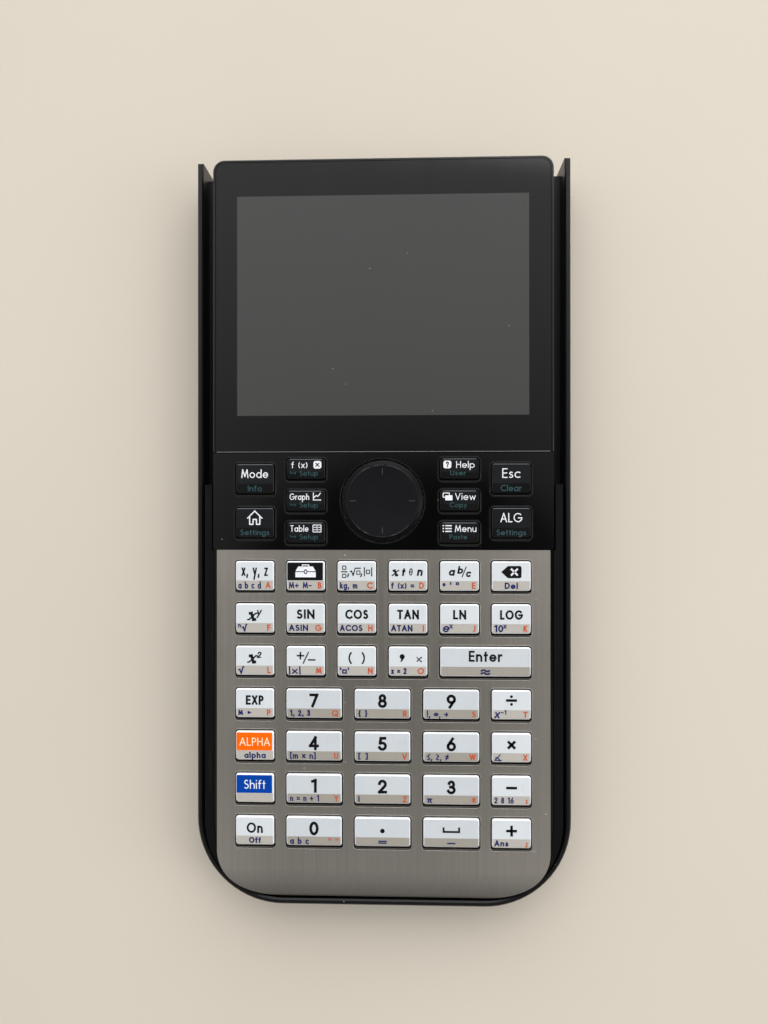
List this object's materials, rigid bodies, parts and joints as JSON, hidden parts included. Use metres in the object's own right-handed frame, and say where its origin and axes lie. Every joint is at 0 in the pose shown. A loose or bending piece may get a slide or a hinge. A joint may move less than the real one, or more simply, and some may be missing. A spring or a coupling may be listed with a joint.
{
  "type": "graphing calculator",
  "caption": "Handheld graphing calculator with a glass-fronted colour display, brushed faceplate, pressable keys, rocking cursor pad and a slide-on protective cover.",
  "frame": {"origin": "on the table, under the middle of the slide cover", "axes": "+X to the right of the keys, +Y towards the display end, +Z out of the key face"},
  "size_m": [0.091, 0.1816, 0.0162],
  "materials": {
    "cover": "satin black moulded plastic, fine scuffs along the rim",
    "housing": "fine-grained black plastic",
    "bezel": "piano black gloss",
    "faceplate": "brushed along the length, warm grey",
    "glass": "clear cover glass printed black behind its border",
    "display": "grey unlit display",
    "white_keys": "smooth white caps, printed legends",
    "black_keys": "smooth black caps, printed legends",
    "cursor_pad": "fine turned satin black with four marks",
    "gimbal": "black moulded plastic",
    "key_mat": "grey silicone",
    "board": "green circuit board with black chips",
    "battery": "plain dark wrap",
    "screws": "blackened steel"
  },
  "bodies": {
    "calculator": {"rear_housing": "housing", "battery_cover": "housing", "battery": "battery", "main_board": "board", "key_mat": "key_mat", "display_module": "display", "front_bezel": "bezel", "faceplate": "faceplate", "display_glass": "glass", "screws": "screws"},
    "slide_cover": {"slide_cover": "cover"},
    "pad_gimbal": {"pad_gimbal": "gimbal"},
    "cursor_pad": {"cursor_pad": "cursor_pad"},
    "key_variables": {"key_variables": "white_keys"},
    "key_toolbox": {"key_toolbox": "white_keys"},
    "key_template": {"key_template": "white_keys"},
    "key_xtn": {"key_xtn": "white_keys"},
    "key_fraction": {"key_fraction": "white_keys"},
    "key_delete": {"key_delete": "white_keys"},
    "key_power": {"key_power": "white_keys"},
    "key_sin": {"key_sin": "white_keys"},
    "key_cos": {"key_cos": "white_keys"},
    "key_tan": {"key_tan": "white_keys"},
    "key_ln": {"key_ln": "white_keys"},
    "key_log": {"key_log": "white_keys"},
    "key_square": {"key_square": "white_keys"},
    "key_plus_minus": {"key_plus_minus": "white_keys"},
    "key_brackets": {"key_brackets": "white_keys"},
    "key_comma": {"key_comma": "white_keys"},
    "key_enter": {"key_enter": "white_keys"},
    "key_exponent": {"key_exponent": "white_keys"},
    "key_7": {"key_7": "white_keys"},
    "key_8": {"key_8": "white_keys"},
    "key_9": {"key_9": "white_keys"},
    "key_divide": {"key_divide": "white_keys"},
    "key_alpha": {"key_alpha": "white_keys"},
    "key_4": {"key_4": "white_keys"},
    "key_5": {"key_5": "white_keys"},
    "key_6": {"key_6": "white_keys"},
    "key_multiply": {"key_multiply": "white_keys"},
    "key_shift": {"key_shift": "white_keys"},
    "key_1": {"key_1": "white_keys"},
    "key_2": {"key_2": "white_keys"},
    "key_3": {"key_3": "white_keys"},
    "key_minus": {"key_minus": "white_keys"},
    "key_on": {"key_on": "white_keys"},
    "key_0": {"key_0": "white_keys"},
    "key_point": {"key_point": "white_keys"},
    "key_space": {"key_space": "white_keys"},
    "key_plus": {"key_plus": "white_keys"},
    "key_apps": {"key_apps": "black_keys"},
    "key_home": {"key_home": "black_keys"},
    "key_formula": {"key_formula": "black_keys"},
    "key_graph": {"key_graph": "black_keys"},
    "key_table": {"key_table": "black_keys"},
    "key_escape": {"key_escape": "black_keys"},
    "key_algebra": {"key_algebra": "black_keys"},
    "key_help": {"key_help": "black_keys"},
    "key_view": {"key_view": "black_keys"},
    "key_menu": {"key_menu": "black_keys"}
  },
  "joints": [
    {"name": "cover_slide", "type": "slide", "parent": "calculator", "child": "slide_cover", "axis": [0, -1, 0], "range_m": [0, 0.158]},
    {"name": "pad_rock_up_down", "type": "hinge", "parent": "calculator", "child": "pad_gimbal", "pos_m": [0, 0.00773, 0.0129], "axis": [1, 0, 0], "range_deg": [-3, 3], "stiffness_Nm_per_rad": 0.2, "deforming": ["key_mat"]},
    {"name": "pad_rock_left_right", "type": "hinge", "parent": "pad_gimbal", "child": "cursor_pad", "pos_m": [0, 0.00773, 0.0129], "axis": [0, 1, 0], "range_deg": [-3, 3], "stiffness_Nm_per_rad": 0.2, "deforming": ["key_mat"]},
    {"name": "press_variables", "type": "slide", "parent": "calculator", "child": "key_variables", "axis": [0, 0, 1], "range_m": [-0.0007, 0], "stiffness_N_per_m": 400, "springref_m": 0.0003, "deforming": ["key_mat"]},
    {"name": "press_toolbox", "type": "slide", "parent": "calculator", "child": "key_toolbox", "axis": [0, 0, 1], "range_m": [-0.0007, 0], "stiffness_N_per_m": 400, "springref_m": 0.0003, "deforming": ["key_mat"]},
    {"name": "press_template", "type": "slide", "parent": "calculator", "child": "key_template", "axis": [0, 0, 1], "range_m": [-0.0007, 0], "stiffness_N_per_m": 400, "springref_m": 0.0003, "deforming": ["key_mat"]},
    {"name": "press_xtn", "type": "slide", "parent": "calculator", "child": "key_xtn", "axis": [0, 0, 1], "range_m": [-0.0007, 0], "stiffness_N_per_m": 400, "springref_m": 0.0003, "deforming": ["key_mat"]},
    {"name": "press_fraction", "type": "slide", "parent": "calculator", "child": "key_fraction", "axis": [0, 0, 1], "range_m": [-0.0007, 0], "stiffness_N_per_m": 400, "springref_m": 0.0003, "deforming": ["key_mat"]},
    {"name": "press_delete", "type": "slide", "parent": "calculator", "child": "key_delete", "axis": [0, 0, 1], "range_m": [-0.0007, 0], "stiffness_N_per_m": 400, "springref_m": 0.0003, "deforming": ["key_mat"]},
    {"name": "press_power", "type": "slide", "parent": "calculator", "child": "key_power", "axis": [0, 0, 1], "range_m": [-0.0007, 0], "stiffness_N_per_m": 400, "springref_m": 0.0003, "deforming": ["key_mat"]},
    {"name": "press_sin", "type": "slide", "parent": "calculator", "child": "key_sin", "axis": [0, 0, 1], "range_m": [-0.0007, 0], "stiffness_N_per_m": 400, "springref_m": 0.0003, "deforming": ["key_mat"]},
    {"name": "press_cos", "type": "slide", "parent": "calculator", "child": "key_cos", "axis": [0, 0, 1], "range_m": [-0.0007, 0], "stiffness_N_per_m": 400, "springref_m": 0.0003, "deforming": ["key_mat"]},
    {"name": "press_tan", "type": "slide", "parent": "calculator", "child": "key_tan", "axis": [0, 0, 1], "range_m": [-0.0007, 0], "stiffness_N_per_m": 400, "springref_m": 0.0003, "deforming": ["key_mat"]},
    {"name": "press_ln", "type": "slide", "parent": "calculator", "child": "key_ln", "axis": [0, 0, 1], "range_m": [-0.0007, 0], "stiffness_N_per_m": 400, "springref_m": 0.0003, "deforming": ["key_mat"]},
    {"name": "press_log", "type": "slide", "parent": "calculator", "child": "key_log", "axis": [0, 0, 1], "range_m": [-0.0007, 0], "stiffness_N_per_m": 400, "springref_m": 0.0003, "deforming": ["key_mat"]},
    {"name": "press_square", "type": "slide", "parent": "calculator", "child": "key_square", "axis": [0, 0, 1], "range_m": [-0.0007, 0], "stiffness_N_per_m": 400, "springref_m": 0.0003, "deforming": ["key_mat"]},
    {"name": "press_plus_minus", "type": "slide", "parent": "calculator", "child": "key_plus_minus", "axis": [0, 0, 1], "range_m": [-0.0007, 0], "stiffness_N_per_m": 400, "springref_m": 0.0003, "deforming": ["key_mat"]},
    {"name": "press_brackets", "type": "slide", "parent": "calculator", "child": "key_brackets", "axis": [0, 0, 1], "range_m": [-0.0007, 0], "stiffness_N_per_m": 400, "springref_m": 0.0003, "deforming": ["key_mat"]},
    {"name": "press_comma", "type": "slide", "parent": "calculator", "child": "key_comma", "axis": [0, 0, 1], "range_m": [-0.0007, 0], "stiffness_N_per_m": 400, "springref_m": 0.0003, "deforming": ["key_mat"]},
    {"name": "press_enter", "type": "slide", "parent": "calculator", "child": "key_enter", "axis": [0, 0, 1], "range_m": [-0.0007, 0], "stiffness_N_per_m": 400, "springref_m": 0.0003, "deforming": ["key_mat"]},
    {"name": "press_exponent", "type": "slide", "parent": "calculator", "child": "key_exponent", "axis": [0, 0, 1], "range_m": [-0.0007, 0], "stiffness_N_per_m": 400, "springref_m": 0.0003, "deforming": ["key_mat"]},
    {"name": "press_7", "type": "slide", "parent": "calculator", "child": "key_7", "axis": [0, 0, 1], "range_m": [-0.0007, 0], "stiffness_N_per_m": 400, "springref_m": 0.0003, "deforming": ["key_mat"]},
    {"name": "press_8", "type": "slide", "parent": "calculator", "child": "key_8", "axis": [0, 0, 1], "range_m": [-0.0007, 0], "stiffness_N_per_m": 400, "springref_m": 0.0003, "deforming": ["key_mat"]},
    {"name": "press_9", "type": "slide", "parent": "calculator", "child": "key_9", "axis": [0, 0, 1], "range_m": [-0.0007, 0], "stiffness_N_per_m": 400, "springref_m": 0.0003, "deforming": ["key_mat"]},
    {"name": "press_divide", "type": "slide", "parent": "calculator", "child": "key_divide", "axis": [0, 0, 1], "range_m": [-0.0007, 0], "stiffness_N_per_m": 400, "springref_m": 0.0003, "deforming": ["key_mat"]},
    {"name": "press_alpha", "type": "slide", "parent": "calculator", "child": "key_alpha", "axis": [0, 0, 1], "range_m": [-0.0007, 0], "stiffness_N_per_m": 400, "springref_m": 0.0003, "deforming": ["key_mat"]},
    {"name": "press_4", "type": "slide", "parent": "calculator", "child": "key_4", "axis": [0, 0, 1], "range_m": [-0.0007, 0], "stiffness_N_per_m": 400, "springref_m": 0.0003, "deforming": ["key_mat"]},
    {"name": "press_5", "type": "slide", "parent": "calculator", "child": "key_5", "axis": [0, 0, 1], "range_m": [-0.0007, 0], "stiffness_N_per_m": 400, "springref_m": 0.0003, "deforming": ["key_mat"]},
    {"name": "press_6", "type": "slide", "parent": "calculator", "child": "key_6", "axis": [0, 0, 1], "range_m": [-0.0007, 0], "stiffness_N_per_m": 400, "springref_m": 0.0003, "deforming": ["key_mat"]},
    {"name": "press_multiply", "type": "slide", "parent": "calculator", "child": "key_multiply", "axis": [0, 0, 1], "range_m": [-0.0007, 0], "stiffness_N_per_m": 400, "springref_m": 0.0003, "deforming": ["key_mat"]},
    {"name": "press_shift", "type": "slide", "parent": "calculator", "child": "key_shift", "axis": [0, 0, 1], "range_m": [-0.0007, 0], "stiffness_N_per_m": 400, "springref_m": 0.0003, "deforming": ["key_mat"]},
    {"name": "press_1", "type": "slide", "parent": "calculator", "child": "key_1", "axis": [0, 0, 1], "range_m": [-0.0007, 0], "stiffness_N_per_m": 400, "springref_m": 0.0003, "deforming": ["key_mat"]},
    {"name": "press_2", "type": "slide", "parent": "calculator", "child": "key_2", "axis": [0, 0, 1], "range_m": [-0.0007, 0], "stiffness_N_per_m": 400, "springref_m": 0.0003, "deforming": ["key_mat"]},
    {"name": "press_3", "type": "slide", "parent": "calculator", "child": "key_3", "axis": [0, 0, 1], "range_m": [-0.0007, 0], "stiffness_N_per_m": 400, "springref_m": 0.0003, "deforming": ["key_mat"]},
    {"name": "press_minus", "type": "slide", "parent": "calculator", "child": "key_minus", "axis": [0, 0, 1], "range_m": [-0.0007, 0], "stiffness_N_per_m": 400, "springref_m": 0.0003, "deforming": ["key_mat"]},
    {"name": "press_on", "type": "slide", "parent": "calculator", "child": "key_on", "axis": [0, 0, 1], "range_m": [-0.0007, 0], "stiffness_N_per_m": 400, "springref_m": 0.0003, "deforming": ["key_mat"]},
    {"name": "press_0", "type": "slide", "parent": "calculator", "child": "key_0", "axis": [0, 0, 1], "range_m": [-0.0007, 0], "stiffness_N_per_m": 400, "springref_m": 0.0003, "deforming": ["key_mat"]},
    {"name": "press_point", "type": "slide", "parent": "calculator", "child": "key_point", "axis": [0, 0, 1], "range_m": [-0.0007, 0], "stiffness_N_per_m": 400, "springref_m": 0.0003, "deforming": ["key_mat"]},
    {"name": "press_space", "type": "slide", "parent": "calculator", "child": "key_space", "axis": [0, 0, 1], "range_m": [-0.0007, 0], "stiffness_N_per_m": 400, "springref_m": 0.0003, "deforming": ["key_mat"]},
    {"name": "press_plus", "type": "slide", "parent": "calculator", "child": "key_plus", "axis": [0, 0, 1], "range_m": [-0.0007, 0], "stiffness_N_per_m": 400, "springref_m": 0.0003, "deforming": ["key_mat"]},
    {"name": "press_apps", "type": "slide", "parent": "calculator", "child": "key_apps", "axis": [0, 0, 1], "range_m": [-0.0007, 0], "stiffness_N_per_m": 400, "springref_m": 0.0003, "deforming": ["key_mat"]},
    {"name": "press_home", "type": "slide", "parent": "calculator", "child": "key_home", "axis": [0, 0, 1], "range_m": [-0.0007, 0], "stiffness_N_per_m": 400, "springref_m": 0.0003, "deforming": ["key_mat"]},
    {"name": "press_formula", "type": "slide", "parent": "calculator", "child": "key_formula", "axis": [0, 0, 1], "range_m": [-0.0007, 0], "stiffness_N_per_m": 400, "springref_m": 0.0003, "deforming": ["key_mat"]},
    {"name": "press_graph", "type": "slide", "parent": "calculator", "child": "key_graph", "axis": [0, 0, 1], "range_m": [-0.0007, 0], "stiffness_N_per_m": 400, "springref_m": 0.0003, "deforming": ["key_mat"]},
    {"name": "press_table", "type": "slide", "parent": "calculator", "child": "key_table", "axis": [0, 0, 1], "range_m": [-0.0007, 0], "stiffness_N_per_m": 400, "springref_m": 0.0003, "deforming": ["key_mat"]},
    {"name": "press_escape", "type": "slide", "parent": "calculator", "child": "key_escape", "axis": [0, 0, 1], "range_m": [-0.0007, 0], "stiffness_N_per_m": 400, "springref_m": 0.0003, "deforming": ["key_mat"]},
    {"name": "press_algebra", "type": "slide", "parent": "calculator", "child": "key_algebra", "axis": [0, 0, 1], "range_m": [-0.0007, 0], "stiffness_N_per_m": 400, "springref_m": 0.0003, "deforming": ["key_mat"]},
    {"name": "press_help", "type": "slide", "parent": "calculator", "child": "key_help", "axis": [0, 0, 1], "range_m": [-0.0007, 0], "stiffness_N_per_m": 400, "springref_m": 0.0003, "deforming": ["key_mat"]},
    {"name": "press_view", "type": "slide", "parent": "calculator", "child": "key_view", "axis": [0, 0, 1], "range_m": [-0.0007, 0], "stiffness_N_per_m": 400, "springref_m": 0.0003, "deforming": ["key_mat"]},
    {"name": "press_menu", "type": "slide", "parent": "calculator", "child": "key_menu", "axis": [0, 0, 1], "range_m": [-0.0007, 0], "stiffness_N_per_m": 400, "springref_m": 0.0003, "deforming": ["key_mat"]}
  ]
}
